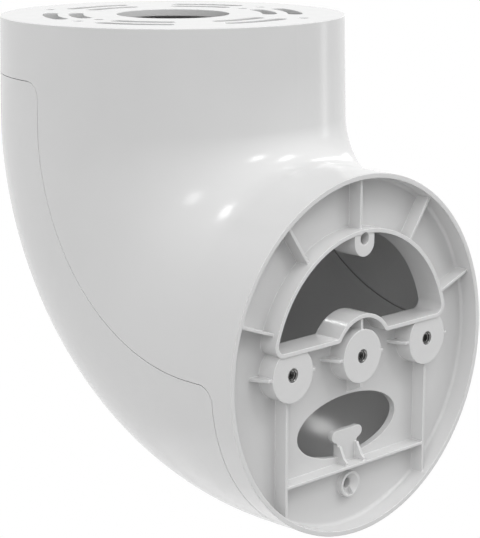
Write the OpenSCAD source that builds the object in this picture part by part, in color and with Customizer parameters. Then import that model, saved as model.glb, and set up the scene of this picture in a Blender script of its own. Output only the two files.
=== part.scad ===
// Elbow mount that hangs a dome camera under an eave.
// The origin is the middle of the round eave face, +Z is up, and the camera flange faces +X.
// Everything is symmetric about the plane y = 0. Lengths are in millimetres.

/* [Elbow] */
// Diameter of the eave face
eave_d = 150; // [140:1:158]
// Diameter of the camera flange at its rim
flange_d = 151; // [146:1:158]
// Diameter of the tube round the bend
tube_d = 152; // [150:0.5:160]
// Radius of the inside of the bend
bend_inner_r = 14; // [8:0.5:40]
// Straight neck under the eave face
neck_len = 42.5; // [36:0.5:70]
// Straight stretch behind the flange rim
flange_len = 24.5; // [22:0.5:40]
// Wall of the elbow and of its cover
wall = 2.5; // [1.8:0.1:3]

/* [Eave plate] */
// Thickness of the plate that meets the eave
eave_t = 3; // [2:0.25:5]
// Hole that the cables come through
cable_hole_d = 49.5; // [30:0.5:60]
// Radii of the two rings of screw slots
slot_rings = [42.3, 53.5];
// Width of a screw slot
slot_w = 6.5; // [4:0.25:7]
// Number of slots in each ring
slot_count = 6; // [3:1:8]
// Angle that each slot spans between its end centres
slot_span = 30; // [10:1:36]
// Diameter of the round screw holes between the slots
screw_hole_d = 4.5; // [3:0.25:6]
// Distance of the two outer screw holes from the middle
outer_hole_r = 60.5; // [59.5:0.25:64]
// Angle of those two holes from the camera's direction
outer_hole_angle = 24; // [20:1:34]

/* [Camera flange] */
// Thickness of the wall round the flange at its rim
rim_t = 2; // [1.5:0.1:2.5]
// Depth of the flange floor below the rim
floor_depth = 8.5; // [6:0.25:12]
// Thickness of the flange floor
floor_t = 3; // [2:0.25:5]
// Radius of the fillet where the floor meets the rim wall
foot_r = 1.5; // [0.5:0.1:2.5]
// Depth of the ribs' front edges below the rim
rib_drop = 2.4; // [1:0.1:4]
// Thickness of ribs and webs
rib_t = 1.2; // [0.8:0.1:2]
// Number of spokes between the window and the rim wall
spoke_count = 5; // [3:2:7]
// Angle from one spoke to the next
spoke_pitch = 35.2; // [25:0.1:40]

/* [Window] */
// Radius of the window's outer face
window_r = 53; // [50:0.5:58]
// Height of the window's lower outer face above the middle of the flange
window_rise = 8.2; // [7:0.1:10]
// Thickness of the window's wall
window_wall = 1.7; // [1.2:0.1:2.5]
// Length of the window's wall behind the rim
window_depth = 13; // [12:0.5:16]
// Radius of the window's two lower corners
window_corner_r = 5; // [3.5:0.1:7]
// Clear radius of the arch over the middle boss
arch_r = 16.2; // [15:0.1:18]
// Radius of the crease inside the window, where the arch meets the straight lower wall
arch_crease_r = 0.8; // [0.4:0.1:1.5]

/* [Screw bosses] */
// Distance from the middle boss to each outer boss
boss_pitch = 40.8; // [38:0.1:43]
// Diameter of a boss
boss_d = 22.6; // [18:0.1:24]
// Depth of the boss faces below the rim
boss_drop = 0.5; // [0:0.1:1.5]
// Reach of a gusset from the boss along the floor
gusset_reach = 5.4; // [4:0.1:9]
// Width of the nose at the top of a gusset
gusset_nose = 1.9; // [0.5:0.1:2.4]

/* [Threaded inserts] */
// Outer diameter of an insert
insert_d = 5.8; // [5.2:0.1:6.4]
// Length of an insert
insert_len = 7; // [5:0.25:8]
// Tapping diameter of the insert's thread
insert_bore_d = 3.4; // [2.5:0.1:4.2]
// Radial gap between an insert and its hole
insert_fit = 0.05; // [0.02:0.01:0.1]
// Depth of the blind hole under an insert
insert_relief = 2; // [0.5:0.25:2.5]

/* [Lanyard hook and frame ribs] */
// Distance of the two uprights from the middle
upright_y = 42.1; // [40:0.1:45]
// Depth of the cross rib's top face below the middle of the flange
shelf_drop = 46.7; // [45.5:0.1:49]
// Half lengths of the oval opening, across and up
oval_half = [30, 13.3];
// Depth of the oval's middle below the middle of the flange
oval_drop = 31; // [29:0.25:33]
// Width of the hook's stem
hook_stem_w = 11.6; // [8:0.1:14]
// Width of the hook's head
hook_head_w = 18.2; // [16:0.1:24]
// Height of the hook's head
hook_head_h = 5; // [4:0.1:6]
// Depth of the hook's top below the middle of the flange
hook_top_drop = 32.7; // [30:0.1:34]
// Thickness of the hook's plate
hook_t = 2.3; // [1.2:0.1:3]
// Reach of the hook's two side webs over the cross rib
hook_web_reach = 5.2; // [4:0.1:5.8]
// Height of the toe of each web
hook_web_toe = 2; // [1:0.1:3]

/* [Cover screw and hanging lug] */
// Depth of the cover screw below the middle of the flange
cover_screw_drop = 56.6; // [54:0.1:59]
// Diameter of the cover screw's hole
cover_screw_d = 4.4; // [3:0.1:5]
// Diameter of the ring round the cover screw's hole
cover_ring_d = 11.2; // [9:0.1:13]
// Height of that ring above the floor
cover_ring_h = 2.5; // [1:0.1:3]
// Diameter of its countersink
cover_sink_d = 9.2; // [7:0.1:10]
// Width of the drain notch below the hole
cover_notch_w = 3.2; // [2:0.1:4]
// Height of the lug's hole above the middle of the flange
lug_hole_rise = 49.2; // [48:0.1:50]
// Diameter of the lug's hole
lug_hole_d = 5.2; // [4:0.1:6]
// Width of the lug
lug_w = 11.5; // [9:0.1:13]
// Height of the middle of the lug's round end
lug_rise = 47.5; // [46:0.1:49]

/* [Access cover] */
// Height of the seam under the eave face
cover_top_drop = 24; // [20:0.5:30]
// Distance of the lower seam behind the rim
cover_end_gap = 10.4; // [9.5:0.1:11]
// Radius of the cover's corners, in side view
cover_corner_r = 7; // [3:0.5:10]
// Width of the seam
seam = 0.3; // [0.2:0.05:0.6]
// Gap between the cover and what it seats against
cover_fit = 0.3; // [0.2:0.05:0.5]
// Reach of the housing's inner lip behind the cover's edge
lip_reach = 2; // [1:0.25:2.5]
// Gap between that lip and the thinned edge of the cover
lip_fit = 0.2; // [0.1:0.05:0.3]
// Gap between the end of that lip and the full wall of the cover
lip_gap = 0.9; // [0.4:0.1:1.5]
// Angle of each hook from the cover's middle line
cover_hook_angle = 38; // [20:1:50]
// Size of a hook, across, along and through
cover_hook = [14, 15, 2];
// Diameter of the post that takes the cover screw
cover_post_d = 9; // [7:0.25:11]
// Length of that post
cover_post_len = 18; // [12:0.5:22]
// Diameter of the pilot hole in the post
cover_pilot_d = 3.2; // [2:0.1:4]

/* [Hidden] */
// Facets on a full turn, which stand in for true arcs
$fn = 128;
// A length that reaches past every cut
far = 400;
// Small overlap between joined solids
lap = 0.6;
// Overrun of a rounding, so that its arc crosses the next one and doesn't just touch it
nip = 0.03;
tube_r = tube_d / 2;
bend_r = tube_r + bend_inner_r;
flange_z = -neck_len - bend_r;
rim_x = bend_r + flange_len;
floor_x = rim_x - floor_depth;
floor_back_x = floor_x - floor_t;
rib_x = rim_x - rib_drop;
boss_x = rim_x - boss_drop;
pocket_r = flange_d / 2 - rim_t;
boss_r = boss_d / 2;
window_back_x = rim_x - window_depth;
seam_x = rim_x - cover_end_gap;
insert_hole_d = insert_d + 2 * insert_fit;
slot_pitch = 360 / slot_count;
hook_shoulder = (hook_head_w - hook_stem_w) / 2;
cover_post_x = floor_back_x - cover_fit;
cover_wall_end = seam_x - lip_reach - lip_gap;

// Turns a shape drawn in flange view, x across and y up, to face +X at distance x.
module on_flange(x) {
    translate([x, 0, flange_z]) rotate([90, 0, 90]) children();
}

// A drawing in flange view, extruded from one distance along X to another.
module flange_block(from_x, to_x) {
    on_flange(from_x) linear_extrude(to_x - from_x) children();
}

// The elbow as a solid, with its surface moved in by a depth.
module elbow_form(inset) {
    translate([0, 0, -neck_len])
        cylinder(h = neck_len, r1 = tube_r - inset, r2 = eave_d / 2 - inset);
    translate([bend_r, 0, -neck_len])
        rotate([90, 180, 0])
            rotate_extrude(angle = 90)
                translate([bend_r, 0]) circle(r = tube_r - inset);
    translate([bend_r, 0, flange_z])
        rotate([0, 90, 0])
            cylinder(h = flange_len, r1 = tube_r - inset, r2 = flange_d / 2 - inset);
}

// The hollow between the eave plate and the flange floor.
module elbow_cavity() {
    intersection() {
        elbow_form(wall);
        translate([floor_back_x - far, -far / 2, -far - eave_t]) cube(far);
    }
}

// The cover's outline in side view, x along and z up, moved out by grow.
module cover_outline(grow) {
    r = cover_corner_r + grow;
    x1 = seam_x + grow;
    z1 = grow - cover_top_drop;
    x0 = grow;
    z0 = flange_z + grow;
    difference() {
        translate([x1 - far, z1 - far]) square(far);
        translate([bend_r, -neck_len]) circle(r = bend_r - grow);
        translate([x0, -neck_len]) square(far);
        translate([bend_r, z0]) square(far);
        round_off([x0, z1], r);
        round_off([x1, z0], r);
    }
}

// What a corner with edges to the left and below loses when it is rounded.
module round_off(corner, r) {
    translate(corner - [r, r])
        difference() {
            square(r + 1);
            circle(r = r);
        }
}

// The cover's outline carried right across the elbow.
module cover_zone(grow) {
    rotate([90, 0, 0]) linear_extrude(far, center = true) cover_outline(grow);
}

// What the elbow's wall loses to the cover: all of it, but for an inner lip round the edge.
module cover_seat() {
    difference() {
        cover_zone(seam / 2);
        elbow_form(wall / 2);
    }
    difference() {
        cover_zone(seam / 2 - lip_reach);
        elbow_form(wall + cover_fit);
    }
}

// The cover's wall, which is thinner round its edge, where it laps over the lip.
module cover_wall() {
    intersection() {
        difference() {
            elbow_form(0);
            elbow_form(wall / 2 - lip_fit);
        }
        cover_zone(-seam / 2);
    }
    intersection() {
        difference() {
            elbow_form(0);
            elbow_form(wall);
        }
        cover_zone(seam / 2 - lip_reach - lip_gap);
    }
}

// A curved slot, with round ends, through the eave plate.
module arc_slot(ring_r, mid_angle) {
    rotate(mid_angle - slot_span / 2) {
        translate([0, 0, -eave_t - 1])
            rotate_extrude(angle = slot_span)
                translate([ring_r - slot_w / 2, 0]) square([slot_w, eave_t + 2]);
        for (a = [0, slot_span])
            rotate(a) eave_hole(ring_r, slot_w + 2 * nip);
    }
}

// A round hole through the eave plate.
module eave_hole(at_r, d) {
    translate([at_r, 0, -eave_t - 1]) cylinder(h = eave_t + 2, d = d);
}

// The holes of the eave plate: one for the cables, two rings of slots, and round screw holes.
module eave_holes() {
    eave_hole(0, cable_hole_d);
    for (i = [0 : slot_count - 1], ring_r = slot_rings)
        arc_slot(ring_r, i * slot_pitch);
    for (side = [90, 270], ring_r = slot_rings)
        rotate(side) eave_hole(ring_r, screw_hole_d);
    for (a = [outer_hole_angle, outer_hole_angle + 180])
        rotate(a) eave_hole(outer_hole_r, screw_hole_d);
}

// The window's outline in flange view, moved in by a depth: a wide D over an arched sill.
module window_outline(inset) {
    r = window_r - inset;
    sill = window_rise + inset;
    arch = arch_r + inset;
    corner = window_corner_r - inset;
    foot = arch_crease_r + window_wall - inset;
    corner_at = [sqrt(pow(r - corner, 2) - pow(sill + corner, 2)), sill + corner];
    foot_at = [sqrt(pow(arch + foot - nip, 2) - pow(sill + foot, 2)), sill + foot];
    difference() {
        circle(r = r);
        translate([-far / 2, sill - far]) square(far);
        circle(r = arch);
        for (side = [0, 1]) mirror([side, 0]) {
            // the lower corner outside its rounding
            difference() {
                polygon([corner_at, [corner_at[0], 0], [r + 1, 0], corner_at * (r + 1) / (r - corner)]);
                translate(corner_at) circle(r = corner);
            }
            // the foot of the arch outside its rounding
            difference() {
                polygon([foot_at, [foot_at[0], 0], [0, 0]]);
                translate(foot_at) circle(r = foot);
            }
        }
    }
}

// The oval opening in flange view.
module oval() {
    translate([0, -oval_drop]) scale([oval_half[0] / oval_half[1], 1]) circle(r = oval_half[1]);
}

// The lanyard hook in flange view: a stem with a round-ended head and hollow shoulders.
module hook_outline() {
    head_r = hook_head_h / 2;
    head_x = hook_head_w / 2 - head_r;
    translate([-hook_stem_w / 2, -shelf_drop])
        square([hook_stem_w, shelf_drop - hook_top_drop - head_r]);
    translate([-head_x, -hook_top_drop - hook_head_h]) square([2 * head_x, hook_head_h]);
    for (side = [-1, 1])
        translate([side * head_x, -hook_top_drop - head_r]) circle(r = head_r);
    // hollow shoulders under the head
    for (side = [0, 1]) mirror([side, 0])
        translate([hook_stem_w / 2, -hook_top_drop - hook_head_h])
            difference() {
                translate([-lap, -hook_shoulder / 2]) square([hook_shoulder / 2 + lap, hook_shoulder / 2 + lap]);
                translate([hook_shoulder / 2, -hook_shoulder / 2]) circle(r = hook_shoulder / 2);
            }
}

// One boss with its side gussets.
module boss() {
    flange_block(floor_back_x, boss_x) circle(r = boss_r);
}

// A thin web that falls from the boss's side to the floor, in the direction of an angle.
module gusset(angle) {
    nose_x = boss_x - 0.5;
    translate([0, 0, flange_z]) rotate([angle, 0, 0])
        translate([0, 0, -rib_t / 2]) linear_extrude(rib_t)
            polygon([
                [floor_x - lap, 0], [nose_x, 0],
                [nose_x, boss_r + gusset_nose],
                [floor_x, boss_r + gusset_reach],
                [floor_x - lap, boss_r + gusset_reach]
            ]);
}

// The three bosses and their gussets. The middle one is also tied to the arch and the floor.
module bosses() {
    for (i = [-1 : 1])
        translate([0, i * boss_pitch, 0]) {
            boss();
            gusset(0);
            gusset(180);
        }
    intersection() {
        gusset(-90);
        gusset_clip();
    }
    flange_block(floor_x - lap, boss_x - 0.5)
        translate([-rib_t / 2, 0]) square([rib_t, arch_r + window_wall / 2]);
}

// Keeps the lower gusset of the middle boss above the oval opening.
module gusset_clip() {
    flange_block(floor_back_x, rim_x)
        translate([-rib_t, -oval_drop + oval_half[1]]) square([2 * rib_t, oval_drop]);
}

// The spokes between the window and the rim wall.
module spokes() {
    for (i = [0 : spoke_count - 1])
        flange_block(floor_x - lap, rib_x)
            rotate((i - (spoke_count - 1) / 2) * spoke_pitch)
                translate([-rib_t / 2, window_r - window_wall / 2])
                    square([rib_t, pocket_r - window_r + window_wall / 2 + lap]);
}

// Two uprights from the outer bosses to the rim wall, and the cross rib between them.
module frame_ribs() {
    intersection() {
        flange_block(floor_x - lap, rib_x) {
            for (side = [-1, 1])
                translate([side * upright_y - rib_t / 2, -pocket_r]) square([rib_t, pocket_r]);
            translate([-upright_y, -shelf_drop - rib_t]) square([2 * upright_y, rib_t]);
        }
        flange_block(floor_back_x, rim_x) circle(r = pocket_r + lap);
    }
}

// The lanyard hook: a plate in the plane of the floor, with two webs that stand on the cross rib.
module lanyard_hook() {
    web_top_z = -hook_top_drop - hook_head_h - hook_shoulder / 2;
    flange_block(floor_x - hook_t, floor_x) hook_outline();
    for (side = [-1, 1])
        translate([0, side * (hook_stem_w - rib_t) / 2 + rib_t / 2, flange_z])
            rotate([90, 0, 0]) linear_extrude(rib_t)
                polygon([
                    [floor_x - hook_t, -shelf_drop - rib_t / 2],
                    [floor_x + hook_web_reach, -shelf_drop - rib_t / 2],
                    [floor_x + hook_web_reach, -shelf_drop + hook_web_toe * 0.6],
                    [floor_x + hook_web_reach * 0.7, -shelf_drop + hook_web_toe * 1.25],
                    [floor_x + hook_web_reach * 0.22, web_top_z],
                    [floor_x - hook_t, web_top_z]
                ]);
}

// The fillet round the foot of the rim wall.
module pocket_fillet() {
    translate([floor_x - lap, 0, flange_z]) rotate([0, 90, 0]) rotate_extrude()
        difference() {
            translate([pocket_r - foot_r, 0]) square([foot_r + lap, foot_r + lap]);
            translate([pocket_r - foot_r, foot_r + lap]) circle(r = foot_r);
        }
}

// The ring round the cover screw's hole.
module cover_screw_ring() {
    flange_block(floor_x - lap, floor_x + cover_ring_h)
        translate([0, -cover_screw_drop]) circle(d = cover_ring_d);
}

// The cover screw's hole with its countersink and the drain notch below it.
module cover_screw_hole() {
    sink = (cover_sink_d - cover_screw_d) / 2;
    top_x = floor_x + cover_ring_h;
    translate([0, 0, -cover_screw_drop]) {
        flange_block(floor_back_x - 1, rim_x) circle(d = cover_screw_d);
        translate([top_x - sink, 0, flange_z]) rotate([0, 90, 0])
            cylinder(h = sink, d1 = cover_screw_d, d2 = cover_sink_d);
        flange_block(top_x - sink, top_x + 1)
            translate([-cover_notch_w / 2, -cover_sink_d / 2]) square([cover_notch_w, cover_sink_d / 2]);
    }
}

// The lug that hangs from the top of the window's wall.
module hanging_lug() {
    intersection() {
        flange_block(window_back_x, rim_x - 0.3) {
            translate([0, lug_rise]) circle(d = lug_w);
            translate([-lug_w / 2, lug_rise]) square([lug_w, window_r - lug_rise]);
        }
        flange_block(window_back_x, rim_x) circle(r = window_r - window_wall / 2);
    }
}

module elbow_housing() {
    color("gainsboro")
    difference() {
        union() {
            difference() {
                elbow_form(0);
                elbow_cavity();
                cover_seat();
                on_flange(floor_x) cylinder(h = far, r = pocket_r);
            }
            pocket_fillet();
            difference() {
                union() {
                    bosses();
                    spokes();
                    flange_block(window_back_x, rim_x) window_outline(0);
                }
                flange_block(window_back_x - 1, rim_x + 1) window_outline(window_wall);
            }
            hanging_lug();
            frame_ribs();
            cover_screw_ring();
        }
        // the way through the window, the oval and the lug
        difference() {
            flange_block(floor_back_x - 1, floor_x + 1) {
                window_outline(window_wall);
                oval();
            }
            hanging_lug();
        }
        on_flange(window_back_x - 1) translate([0, lug_hole_rise, 0]) cylinder(h = far, d = lug_hole_d);
        eave_holes();
        cover_screw_hole();
        for (i = [-1 : 1])
            on_flange(boss_x - insert_len - insert_relief)
                translate([i * boss_pitch, 0, 0]) cylinder(h = far, d = insert_hole_d);
    }
    color("gainsboro") lanyard_hook();
}

module access_cover() {
    color("gainsboro")
    difference() {
        union() {
            cover_wall();
            cover_hooks();
            cover_post();
        }
        translate([cover_post_x - cover_post_len + 2, 0, flange_z - cover_screw_drop])
            rotate([0, 90, 0]) cylinder(h = far, d = cover_pilot_d);
    }
}

// The hooks that tuck up behind the wall of the neck.
module cover_hooks() {
    back_r = eave_d / 2 - wall - cover_fit;
    intersection() {
        union() {
            for (side = [-1, 1])
                rotate([0, 0, 180 + side * cover_hook_angle])
                    translate([0, -cover_hook[0] / 2, -cover_top_drop - cover_hook[1] / 2])
                        cube([far, cover_hook[0], cover_hook[1]]);
        }
        difference() {
            elbow_form(wall + cover_fit);
            elbow_form(wall + cover_fit + cover_hook[2]);
        }
    }
    // the roots that join the hooks to the cover
    intersection() {
        union() {
            for (side = [-1, 1])
                rotate([0, 0, 180 + side * cover_hook_angle])
                    translate([0, -cover_hook[0] / 2, -cover_top_drop - cover_hook[1] / 2])
                        cube([far, cover_hook[0], cover_hook[1] / 2 - lip_reach - lip_gap]);
        }
        difference() {
            elbow_form(wall - lap);
            elbow_form(wall + cover_fit + lap);
        }
    }
}

// The post that takes the cover screw, on a web from the cover's wall.
module cover_post() {
    translate([cover_post_x - cover_post_len, 0, flange_z - cover_screw_drop])
        rotate([0, 90, 0]) cylinder(h = cover_post_len, d = cover_post_d);
    intersection() {
        translate([cover_post_x - cover_post_len, -wall / 2, flange_z - tube_r])
            cube([cover_wall_end - cover_post_x + cover_post_len, wall, tube_r - cover_screw_drop]);
        elbow_form(wall - lap);
    }
}

// A brass-type insert: a knurl-sized body with a waist, countersunk at its mouth.
module threaded_insert(side) {
    waist = insert_len / 4;
    translate([boss_x, side * boss_pitch, flange_z]) rotate([0, -90, 0])
        difference() {
            cylinder(h = insert_len, d = insert_d);
            translate([0, 0, (insert_len - waist) / 2])
                difference() {
                    cylinder(h = waist, d = insert_d + 2);
                    cylinder(h = waist, d = insert_d - 1);
                }
            translate([0, 0, -1]) cylinder(h = insert_len + 2, d = insert_bore_d);
            translate([0, 0, -0.01])
                cylinder(h = 0.5, d1 = insert_bore_d + 1, d2 = insert_bore_d);
        }
}

module left_threaded_insert() {
    color("dimgray") threaded_insert(-1);
}

module middle_threaded_insert() {
    color("dimgray") threaded_insert(0);
}

module right_threaded_insert() {
    color("dimgray") threaded_insert(1);
}

elbow_housing();
access_cover();
left_threaded_insert();
middle_threaded_insert();
right_threaded_insert();
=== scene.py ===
# %% [markdown]
# # An elbow mount that hangs a dome camera under an eave
# The shapes of the moulded housing and its access cover come finished from the CAD model, which is
# loaded as a fixed frame in metres. This lesson gives them a moulded finish, models the three
# threaded metal inserts in detail, and lights the part as in a product photograph.

# %% Load the CAD frame
import math

import bmesh
import bpy
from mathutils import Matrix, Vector


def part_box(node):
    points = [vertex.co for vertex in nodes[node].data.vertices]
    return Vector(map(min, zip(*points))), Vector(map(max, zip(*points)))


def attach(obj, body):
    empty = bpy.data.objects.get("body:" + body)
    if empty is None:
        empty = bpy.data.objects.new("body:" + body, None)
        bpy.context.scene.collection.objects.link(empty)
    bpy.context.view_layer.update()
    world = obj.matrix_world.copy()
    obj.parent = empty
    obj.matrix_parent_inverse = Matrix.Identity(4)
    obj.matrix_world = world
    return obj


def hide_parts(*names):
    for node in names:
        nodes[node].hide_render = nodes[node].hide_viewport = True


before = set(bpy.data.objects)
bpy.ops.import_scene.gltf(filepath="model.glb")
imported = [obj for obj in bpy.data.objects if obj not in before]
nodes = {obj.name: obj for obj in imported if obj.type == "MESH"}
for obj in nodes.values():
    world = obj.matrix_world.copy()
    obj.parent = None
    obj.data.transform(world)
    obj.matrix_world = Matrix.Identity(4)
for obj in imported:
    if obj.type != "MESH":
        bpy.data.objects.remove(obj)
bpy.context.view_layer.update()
print("nodes:", sorted(nodes))

# %% [markdown]
# ## The camera
# The photograph looks at the flange from its left and from a little above. The place and the
# direction below come from matching known edges of the part. They are set first, so that each
# later step can be judged in the right view.

# %% Place the camera
IMAGE_W, IMAGE_H = 480, 538
EYE = Vector((0.5805, -0.5241, 0.0639))
LOOK = Vector((-0.6986, 0.6800, -0.2226))
FOCAL_PX = 1774.6

SENSOR_MM = 36

camera_data = bpy.data.cameras.new("photo_camera")
camera_data.sensor_width = SENSOR_MM
camera_data.lens = FOCAL_PX * SENSOR_MM / max(IMAGE_W, IMAGE_H)
camera_data.clip_end = 60
camera = bpy.data.objects.new("photo_camera", camera_data)
bpy.context.collection.objects.link(camera)
camera.location = EYE
camera.rotation_mode = "QUATERNION"
camera.rotation_quaternion = LOOK.to_track_quat("-Z", "Y")
bpy.context.scene.camera = camera
print("lens in mm:", round(camera_data.lens, 2))

# %% [markdown]
# ## The moulded finish
# Both large parts are moulded in a pale grey plastic. Its tool was spark eroded and lightly
# polished, so the surface is satin with a very fine grain, and thick places cool a little
# unevenly, which shows as faint clouds. A sharp moulded edge always keeps a small radius. The
# grain and the clouds are noise on object coordinates, and the Bevel node rounds the edges where
# they catch the light, without a change to the mesh. Where the rounded normal leaves the true one
# there is an edge, and the tone is made paler there: a painted highlight, in creases as on corners.

# %% A maker for plastics
CLOUD_SCALE, SHEEN_SCALE, GRAIN_SCALE = 26, 90, 2600  # noise cells in a metre
CLOUD_SHADE = 0.975  # tone of the darkest cloud, as a share of the full tone
SHEEN_SPREAD = 0.03  # how far the roughness strays to either side
GRAIN_DEPTH = 0.0001
# EDGE_BEGINS and EDGE_FULL set where the painted edge highlight starts and where it is full.
EDGE_BEGINS, EDGE_FULL = 0.995, 0.8  # dot product of the rounded and the true normal
MIX_A, MIX_B, MIX_RESULT = 6, 7, 2  # colour sockets of the Mix node
PLASTIC_IOR = 1.49


def moulded_plastic(name, tone, highlight_tone, roughness, edge=0.0005, grain=0.012):
    """A satin moulded plastic in one tone, with faint clouds, a fine grain and a painted highlight
    on its edges.
    """
    material = bpy.data.materials.new(name)
    material.use_nodes = True
    tree = material.node_tree
    add, join = tree.nodes.new, tree.links.new
    shader = tree.nodes["Principled BSDF"]
    shader.inputs["IOR"].default_value = PLASTIC_IOR
    shader.inputs["Specular IOR Level"].default_value = 0.5
    place = add("ShaderNodeTexCoord")

    clouds = add("ShaderNodeTexNoise")
    clouds.inputs["Scale"].default_value = CLOUD_SCALE
    clouds.inputs["Detail"].default_value = 3
    join(place.outputs["Object"], clouds.inputs["Vector"])
    tint = add("ShaderNodeValToRGB")
    tint.color_ramp.elements[0].position = 0.3
    tint.color_ramp.elements[1].position = 0.7
    tint.color_ramp.elements[0].color = (*[c * CLOUD_SHADE for c in tone], 1)
    tint.color_ramp.elements[1].color = (*tone, 1)
    join(clouds.outputs["Fac"], tint.inputs["Fac"])

    sheen = add("ShaderNodeTexNoise")
    sheen.inputs["Scale"].default_value = SHEEN_SCALE
    sheen.inputs["Detail"].default_value = 4
    join(place.outputs["Object"], sheen.inputs["Vector"])
    spread = add("ShaderNodeMapRange")
    spread.inputs["To Min"].default_value = roughness - SHEEN_SPREAD
    spread.inputs["To Max"].default_value = roughness + SHEEN_SPREAD
    join(sheen.outputs["Fac"], spread.inputs["Value"])
    join(spread.outputs["Result"], shader.inputs["Roughness"])

    spark = add("ShaderNodeTexNoise")
    spark.inputs["Scale"].default_value = GRAIN_SCALE
    spark.inputs["Detail"].default_value = 2
    join(place.outputs["Object"], spark.inputs["Vector"])
    rounded = add("ShaderNodeBevel")
    rounded.samples = 6
    rounded.inputs["Radius"].default_value = edge
    relief = add("ShaderNodeBump")
    relief.inputs["Strength"].default_value = grain
    relief.inputs["Distance"].default_value = GRAIN_DEPTH
    join(spark.outputs["Fac"], relief.inputs["Height"])
    join(rounded.outputs["Normal"], relief.inputs["Normal"])
    join(relief.outputs["Normal"], shader.inputs["Normal"])

    # Painted highlight: the base colour turns paler where the rounded normal leaves the true one,
    # on edges and in creases.
    surface = add("ShaderNodeNewGeometry")
    turned = add("ShaderNodeVectorMath")
    turned.operation = "DOT_PRODUCT"
    join(rounded.outputs["Normal"], turned.inputs[0])
    join(surface.outputs["Normal"], turned.inputs[1])
    edge_highlight_mask = add("ShaderNodeMapRange")
    edge_highlight_mask.inputs["From Min"].default_value = EDGE_BEGINS
    edge_highlight_mask.inputs["From Max"].default_value = EDGE_FULL
    join(turned.outputs["Value"], edge_highlight_mask.inputs["Value"])
    painted_edge_highlight = add("ShaderNodeMix")
    painted_edge_highlight.data_type = "RGBA"
    join(edge_highlight_mask.outputs["Result"], painted_edge_highlight.inputs["Factor"])
    join(tint.outputs["Color"], painted_edge_highlight.inputs[MIX_A])
    painted_edge_highlight.inputs[MIX_B].default_value = (*highlight_tone, 1)
    join(painted_edge_highlight.outputs[MIX_RESULT], shader.inputs["Base Color"])
    print(name, "tone", tone, "roughness", roughness)
    return material


# %% Dress the housing and the cover
def dress(node, material):
    """Gives a CAD node a new material in each of its slots."""
    mesh = nodes[node].data
    if not mesh.materials:
        mesh.materials.append(material)
    for i in range(len(mesh.materials)):
        mesh.materials[i] = material


PALE_GREY = (0.62, 0.62, 0.62)
# The paler tone of the painted highlight along the edges.
EDGE_HIGHLIGHT_GREY = (0.82, 0.82, 0.82)
SATIN = 0.18

housing_plastic = moulded_plastic("housing_plastic", PALE_GREY, EDGE_HIGHLIGHT_GREY, SATIN)
cover_plastic = moulded_plastic("cover_plastic", PALE_GREY, EDGE_HIGHLIGHT_GREY, SATIN)
dress("elbow_housing", housing_plastic)
dress("access_cover", cover_plastic)
for node in ("elbow_housing", "access_cover"):
    print(node, "wears", [material.name for material in nodes[node].data.materials])

# %% [markdown]
# ## The metal of the inserts
# The inserts are turned from a bar of steel and have darkened a little. A bright metal has no
# colour of its own: it mirrors what is around it, so its look comes from its roughness. Noise
# makes the tone and the roughness patchy, as tarnish and grease do. Real tool marks run round the
# bore, but they are too fine to be told apart in this picture, so they are left out.

# %% Turned steel
DARK_STEEL = (0.08, 0.08, 0.08)
BARE_STEEL = (0.27, 0.267, 0.263)
PATCH_SCALE = 1400
POLISH_MIN, POLISH_MAX = 0.12, 0.28
WORN_EDGE = 0.00005

insert_metal = bpy.data.materials.new("insert_metal")
insert_metal.use_nodes = True
tree = insert_metal.node_tree
add, join = tree.nodes.new, tree.links.new
steel = tree.nodes["Principled BSDF"]
steel.inputs["Metallic"].default_value = 1
place = add("ShaderNodeTexCoord")
marks = add("ShaderNodeTexNoise")
marks.inputs["Scale"].default_value = PATCH_SCALE
marks.inputs["Detail"].default_value = 4
join(place.outputs["Object"], marks.inputs["Vector"])
tarnish = add("ShaderNodeValToRGB")
tarnish.color_ramp.elements[0].position = 0.35
tarnish.color_ramp.elements[1].position = 0.65
tarnish.color_ramp.elements[0].color = (*DARK_STEEL, 1)
tarnish.color_ramp.elements[1].color = (*BARE_STEEL, 1)
join(marks.outputs["Fac"], tarnish.inputs["Fac"])
join(tarnish.outputs["Color"], steel.inputs["Base Color"])
polish = add("ShaderNodeMapRange")
polish.inputs["To Min"].default_value = POLISH_MIN
polish.inputs["To Max"].default_value = POLISH_MAX
join(marks.outputs["Fac"], polish.inputs["Value"])
join(polish.outputs["Result"], steel.inputs["Roughness"])
worn_edges = add("ShaderNodeBevel")
worn_edges.samples = 6
worn_edges.inputs["Radius"].default_value = WORN_EDGE
join(worn_edges.outputs["Normal"], steel.inputs["Normal"])
print("insert_metal roughness from", POLISH_MIN, "to", POLISH_MAX)

# %% [markdown]
# ## The body of an insert
# A screw would soon strip a thread cut in plastic, so each boss carries a small threaded metal
# insert. Its outside is knurled, so that it cannot turn in the plastic, and has a waist, so that
# it cannot be pulled out. It could be spun from a drawn profile, but here one ring is extruded
# from corner to corner of that profile, as the lathe tool travels. That way the ring comes back
# to where it started, and the body closes without caps.

# %% Where the inserts sit
BOSS_NODES = {side: side + "_threaded_insert" for side in ("left", "middle", "right")}
insert_low, insert_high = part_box(BOSS_NODES["middle"])
MOUTH_X = insert_high[0]
INSERT_LEN = insert_high[0] - insert_low[0]
AXIS_Y = (insert_low[1] + insert_high[1]) / 2
AXIS_Z = (insert_low[2] + insert_high[2]) / 2
KNURL_R = (insert_high[2] - insert_low[2]) / 2
MM = 0.001
print("insert length and diameter in mm:", round(INSERT_LEN / MM, 2), round(2 * KNURL_R / MM, 2))

# %% Turn the body
TEETH = 24
TOOTH_HEIGHT = 0.13 * MM
VALLEY_R = KNURL_R - TOOTH_HEIGHT
WAIST_R = 2.4 * MM
THREAD_OUTER_R = 2.05 * MM
THREAD_INNER_R = 1.7 * MM
LEAD = 0.2 * MM  # chamfer at both outer ends
MOUTH_DEPTH, MOUTH_FLARE = 0.42 * MM, 0.4 * MM  # chamfer of the bore's mouth
WAIST_TOP, WAIST_FOOT = INSERT_LEN * 3 / 8, INSERT_LEN * 5 / 8
SAME_POINT = 0.000001

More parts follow.
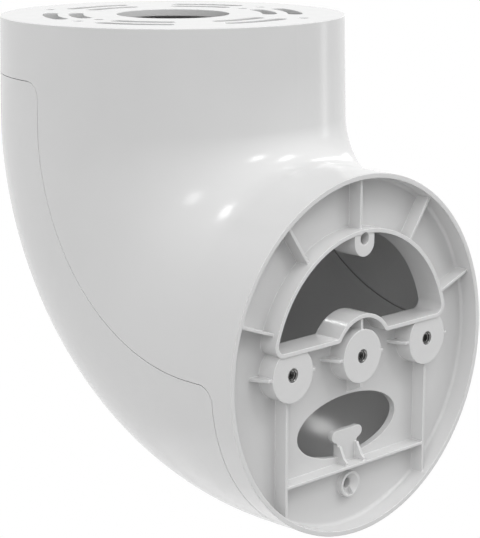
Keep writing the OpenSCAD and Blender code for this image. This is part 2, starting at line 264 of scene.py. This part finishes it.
# Depth below the mouth and radius at each corner, once round the section.
PROFILE = [
    (0, VALLEY_R - LEAD), (LEAD, VALLEY_R), (WAIST_TOP, VALLEY_R), (WAIST_TOP, WAIST_R),
    (WAIST_FOOT, WAIST_R), (WAIST_FOOT, VALLEY_R), (INSERT_LEN - LEAD, VALLEY_R),
    (INSERT_LEN, VALLEY_R - LEAD), (INSERT_LEN, THREAD_OUTER_R), (MOUTH_DEPTH, THREAD_OUTER_R),
    (0, THREAD_OUTER_R + MOUTH_FLARE), (0, VALLEY_R - LEAD),
]


def edit_mesh():
    """The mesh of the piece that is in edit mode."""
    return bmesh.from_edit_mesh(bpy.context.object.data)


def open_edges(mesh):
    """How many edges don't have exactly two faces, which is none when a mesh is closed."""
    return sum(not edge.is_manifold for edge in mesh.edges)


bpy.ops.object.select_all(action="DESELECT")
depth, radius = PROFILE[0]
bpy.ops.mesh.primitive_circle_add(
    vertices=2 * TEETH, radius=radius, fill_type="NOTHING",
    location=(MOUTH_X - depth, AXIS_Y, AXIS_Z), rotation=(0, math.pi / 2, 0))
insert = bpy.context.object
insert.name = "middle_insert_turned"
bpy.ops.object.transform_apply(location=True, rotation=True, scale=True)
bpy.ops.object.mode_set(mode="EDIT")
bpy.ops.mesh.select_all(action="SELECT")
for next_depth, next_radius in PROFILE[1:]:
    bpy.ops.mesh.extrude_edges_move(TRANSFORM_OT_translate={"value": (depth - next_depth, 0, 0)})
    grow = next_radius / radius
    ring_middle = (MOUTH_X - next_depth, AXIS_Y, AXIS_Z)
    bpy.ops.transform.resize(value=(1, grow, grow), center_override=ring_middle)
    depth, radius = next_depth, next_radius
bpy.ops.mesh.select_all(action="SELECT")
bpy.ops.mesh.remove_doubles(threshold=SAME_POINT)
bpy.ops.mesh.normals_make_consistent(inside=False)
print("body faces:", len(edit_mesh().faces), "open edges:", open_edges(edit_mesh()))

# %% [markdown]
# ## The knurl
# A straight knurl is a ring of small teeth. Every second face of the two thick bands is picked by
# its place and its angle round the axis, and is drawn out to the full diameter.

# %% Raise the teeth
TOOTH_PLAY = 0.01 * MM  # kept clear of the CAD cylinder
TOOTH_ANGLE = 180 / TEETH

teeth = edit_mesh()
for face in teeth.faces:
    middle = face.calc_center_median()
    across, up = middle.y - AXIS_Y, middle.z - AXIS_Z
    step = round(math.degrees(math.atan2(up, across)) / TOOTH_ANGLE - 0.5)
    on_band = math.hypot(across, up) > VALLEY_R * 0.99 and abs(face.normal.x) < 0.1
    face.select_set(on_band and step % 2 == 0)
bmesh.update_edit_mesh(insert.data)
print("teeth:", sum(face.select for face in teeth.faces))
rise = KNURL_R - VALLEY_R - TOOTH_PLAY
bpy.ops.mesh.extrude_region_shrink_fatten(TRANSFORM_OT_shrink_fatten={"value": rise})
bpy.ops.object.mode_set(mode="OBJECT")
reach = max(math.hypot(v.co.y - AXIS_Y, v.co.z - AXIS_Z) for v in insert.data.vertices)
print("radius over the teeth in mm:", round(reach / MM, 3))

# %% [markdown]
# ## The thread
# An M4 thread climbs 0.7 mm a turn. A small flat piece with a blunt point is the section of its
# ridge, and the Screw modifier winds it down the bore. The winding starts and ends open, so both
# ends are filled before it is joined to the body with a Boolean.

# %% Wind the thread
THREAD_PITCH = 0.7 * MM
TURNS = 8
THREAD_START = 0.75 * MM
RIDGE_BASE, RIDGE_TIP = 0.56 * MM, 0.1 * MM
RIDGE_BITE = 0.1 * MM  # how far the ridge reaches into the body
STEPS_A_TURN = 36

start_point = (MOUTH_X - THREAD_START, AXIS_Y, AXIS_Z)
bpy.ops.object.select_all(action="DESELECT")
bpy.ops.mesh.primitive_plane_add(size=1, location=start_point, rotation=(math.pi / 2, 0, 0))
thread = bpy.context.object
thread.name = "thread_ridge"
bpy.ops.object.transform_apply(location=False, rotation=True, scale=False)
bpy.ops.object.mode_set(mode="EDIT")
bpy.ops.mesh.select_all(action="SELECT")
bpy.ops.mesh.delete(type="ONLY_FACE")
bpy.ops.mesh.select_all(action="SELECT")
root_r = THREAD_OUTER_R + RIDGE_BITE
ridge_size = (RIDGE_BASE, 1, root_r - THREAD_INNER_R)
bpy.ops.transform.resize(value=ridge_size, center_override=start_point)
bpy.ops.transform.translate(value=(0, 0, (root_r + THREAD_INNER_R) / 2))
section = edit_mesh()
middle_z = sum(v.co.z for v in section.verts) / len(section.verts)
for v in section.verts:
    v.select_set(v.co.z < middle_z)
section.select_flush(False)
bmesh.update_edit_mesh(thread.data)
bpy.ops.transform.resize(value=(RIDGE_TIP / RIDGE_BASE, 1, 1), center_override=start_point)
corners = [(round(v.co.x / MM, 3), round(v.co.z / MM, 3)) for v in edit_mesh().verts]
print("ridge corners in mm:", corners)
bpy.ops.object.mode_set(mode="OBJECT")
winding = thread.modifiers.new("winding", "SCREW")
winding.axis = "X"
winding.steps = winding.render_steps = STEPS_A_TURN
winding.iterations = TURNS
winding.screw_offset = -THREAD_PITCH
bpy.ops.object.modifier_apply(modifier="winding")
bpy.ops.object.transform_apply(location=True, rotation=True, scale=True)
bpy.ops.object.mode_set(mode="EDIT")
bpy.ops.mesh.select_all(action="SELECT")
bpy.ops.mesh.remove_doubles(threshold=SAME_POINT)
bpy.ops.mesh.fill_holes(sides=0)
bpy.ops.mesh.select_all(action="SELECT")
bpy.ops.mesh.normals_make_consistent(inside=False)
print("thread faces:", len(edit_mesh().faces), "open edges:", open_edges(edit_mesh()))
bpy.ops.object.mode_set(mode="OBJECT")

# %% Join the thread to the body
SMOOTH_BELOW = math.radians(28)


def pick(piece):
    """Selects one piece alone and makes it the active one."""
    bpy.ops.object.select_all(action="DESELECT")
    piece.select_set(True)
    bpy.context.view_layer.objects.active = piece


pick(insert)
weld = insert.modifiers.new("weld", "BOOLEAN")
weld.operation = "UNION"
weld.solver = "EXACT"
weld.object = thread
bpy.ops.object.modifier_apply(modifier="weld")
bpy.data.objects.remove(thread)
bpy.ops.object.shade_smooth_by_angle(angle=SMOOTH_BELOW)
insert.data.materials.clear()
insert.data.materials.append(insert_metal)
check = bmesh.new()
check.from_mesh(insert.data)
triangles = sum(len(face.verts) - 2 for face in check.faces)
print("insert triangles:", triangles, "open edges:", open_edges(check))
check.free()

# %% Set one in each boss
for side, node in BOSS_NODES.items():
    low_corner, high_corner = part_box(node)
    move_y = (low_corner[1] + high_corner[1]) / 2 - AXIS_Y
    piece = insert
    if side != "middle":
        pick(insert)
        bpy.ops.object.duplicate(linked=False)
        piece = bpy.context.object
        piece.name = side + "_insert_turned"
        bpy.ops.transform.translate(value=(0, move_y, 0))
        bpy.ops.object.transform_apply(location=True, rotation=True, scale=True)
    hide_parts(node)
    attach(piece, "root")
    print(piece.name, "moved by mm:", round(move_y / MM, 2))

# %% [markdown]
# ## The studio
# The photograph was taken in a white studio. Its light is soft and comes mostly from above, on
# both sides of the camera, so the flange's pocket is dark under its upper rim and under its cross
# rib. The mount hangs in the air, so the floor lies far below it. Its paper glows a little for
# the camera and in reflections, so that it blends into the white behind the part.

# %% Floor
FLOOR_Z = -1.5
FLOOR_RADIUS = 1.6
PAPER_WHITE = 0.86
PAPER_GLOW = 0.45

bpy.ops.object.select_all(action="DESELECT")
bpy.ops.mesh.primitive_circle_add(
    vertices=96, radius=FLOOR_RADIUS, fill_type="NGON", location=(0, 0, FLOOR_Z))
floor = bpy.context.object
floor.name = "studio_floor"

floor_paper = bpy.data.materials.new("floor_paper")
floor_paper.use_nodes = True
tree = floor_paper.node_tree
add, join = tree.nodes.new, tree.links.new
tree.nodes.remove(tree.nodes["Principled BSDF"])
paper = add("ShaderNodeBsdfDiffuse")
paper.inputs["Color"].default_value = (PAPER_WHITE, PAPER_WHITE, PAPER_WHITE, 1)
glow = add("ShaderNodeEmission")
glow.inputs["Strength"].default_value = PAPER_GLOW
both = add("ShaderNodeAddShader")
join(paper.outputs["BSDF"], both.inputs[0])
join(glow.outputs["Emission"], both.inputs[1])
rays = add("ShaderNodeLightPath")
seen = add("ShaderNodeMath")
seen.operation = "MAXIMUM"
join(rays.outputs["Is Camera Ray"], seen.inputs[0])
join(rays.outputs["Is Glossy Ray"], seen.inputs[1])
choose = add("ShaderNodeMixShader")
join(seen.outputs["Value"], choose.inputs["Fac"])
join(paper.outputs["BSDF"], choose.inputs[1])
join(both.outputs["Shader"], choose.inputs[2])
join(choose.outputs["Shader"], tree.nodes["Material Output"].inputs["Surface"])
floor.data.materials.append(floor_paper)
print("floor at m:", FLOOR_Z, "radius:", FLOOR_RADIUS)

# %% [markdown]
# ## The sky as a set of softboxes
# Large softboxes could be area lamps, but those are stronger near the lamp than far from it. Here
# each is a soft lobe on the sky: the dot product of a ray's direction and the softbox's direction
# is 1 in its middle, and a power makes it fall off to its edge. The lobes light the part. Rays
# that come from the camera, from a gloss or through glass see plain white instead.

# %% Softboxes on the sky
LOBE_POWER = 8
SOFTBOXES = [  # azimuth and elevation in degrees, strength
    (0, 60, 1.1), (72, 60, 0.95), (51, 32, 2.25), (102, 32, 0.25), (308, 32, 2.0),
    (15, 2, 0.2), (110, 5, 0.6), (200, 5, 0.65), (245, 5, 0.2), (290, 5, 1.35),
    (154, -22, 0.1), (205, -22, 1.8), (225, -55, 0.3),
]


def direction(azimuth, elevation):
    """The unit vector that points from the part in a direction given in degrees."""
    a, e = math.radians(azimuth), math.radians(elevation)
    return Vector((math.cos(a) * math.cos(e), math.sin(a) * math.cos(e), math.sin(e)))


world = bpy.data.worlds.new("studio_world")
world.use_nodes = True
bpy.context.scene.world = world
tree = world.node_tree
add, join = tree.nodes.new, tree.links.new


def reckon(operation, *values):
    """A Math node on sockets or plain numbers, and its result."""
    node = add("ShaderNodeMath")
    node.operation = operation
    for socket, value in zip(node.inputs, values):
        if isinstance(value, (int, float)):
            socket.default_value = value
        else:
            join(value, socket)
    return node.outputs["Value"]


way = add("ShaderNodeTexCoord")
light = 0.0
for azimuth, elevation, strength in SOFTBOXES:
    toward = add("ShaderNodeVectorMath")
    toward.operation = "DOT_PRODUCT"
    toward.inputs[1].default_value = direction(azimuth, elevation)
    join(way.outputs["Generated"], toward.inputs[0])
    lobe = reckon("POWER", reckon("MAXIMUM", toward.outputs["Value"], 0.0), LOBE_POWER)
    light = reckon("MULTIPLY_ADD", lobe, strength, light)
around = tree.nodes["Background"]
around.inputs["Color"].default_value = (1, 1, 1, 1)
join(light, around.inputs["Strength"])

white = add("ShaderNodeBackground")
white.inputs["Color"].default_value = (1, 1, 1, 1)
white.inputs["Strength"].default_value = 1
rays = add("ShaderNodeLightPath").outputs
straight = reckon("MAXIMUM", rays["Is Camera Ray"], rays["Is Transmission Ray"])
sees_white = reckon("MAXIMUM", straight, rays["Is Glossy Ray"])
mix = add("ShaderNodeMixShader")
join(sees_white, mix.inputs["Fac"])
join(around.outputs["Background"], mix.inputs[1])
join(white.outputs["Background"], mix.inputs[2])
join(mix.outputs["Shader"], tree.nodes["World Output"].inputs["Surface"])
print("softboxes on the sky:", len(SOFTBOXES))

# %% [markdown]
# ## Small lamps
# The sky gives no glints, because a gloss sees it as plain white. Five small square lamps leave the
# short bright streaks where the neck turns into the flange. Two tall strips light the neck's far
# edge, and a softbox lights the back. A larger lamp makes a larger, softer streak.

# %% Place the small lamps
PART_MIDDLE = Vector((0.06, -0.03, -0.07))
LAMP_DISTANCE = 1.6
LAMPS = [  # name, azimuth and elevation in degrees, width and height in metres, watts
    ("streak_lamp_1", -67, 53, 0.26, 0.26, 1.2),
    ("streak_lamp_2", -150, 66, 0.25, 0.25, 2.1),
    ("streak_lamp_3", 17, 49, 0.22, 0.22, 2.1),
    ("streak_lamp_4", 67, 55, 0.22, 0.22, 2.1),
    ("streak_lamp_5", 174, 49, 0.12, 0.12, 0.7),
    ("right_strip", 76, -3, 0.2, 0.9, 0.8),
    ("back_softbox", 180, 65, 0.5, 0.5, 0.6),
    ("far_strip", 112, 22, 0.10, 0.9, 1.2),
]


def lamp(name, azimuth, elevation, width, height, watts):
    """A rectangular lamp in a direction from the part, aimed at it."""
    data = bpy.data.lights.new(name, "AREA")
    data.shape = "RECTANGLE"
    data.size, data.size_y = width, height
    data.energy = watts
    out = direction(azimuth, elevation)
    o = bpy.data.objects.new(name, data)
    bpy.context.collection.objects.link(o)
    o.location = PART_MIDDLE + out * LAMP_DISTANCE
    o.rotation_mode = "QUATERNION"
    o.rotation_quaternion = (-out).to_track_quat("-Z", "Y")


for values in LAMPS:
    lamp(*values)
print("small lamps:", len(LAMPS), "watts in all:", round(sum(values[-1] for values in LAMPS), 2))

bpy.context.scene.view_settings.view_transform = "Standard"
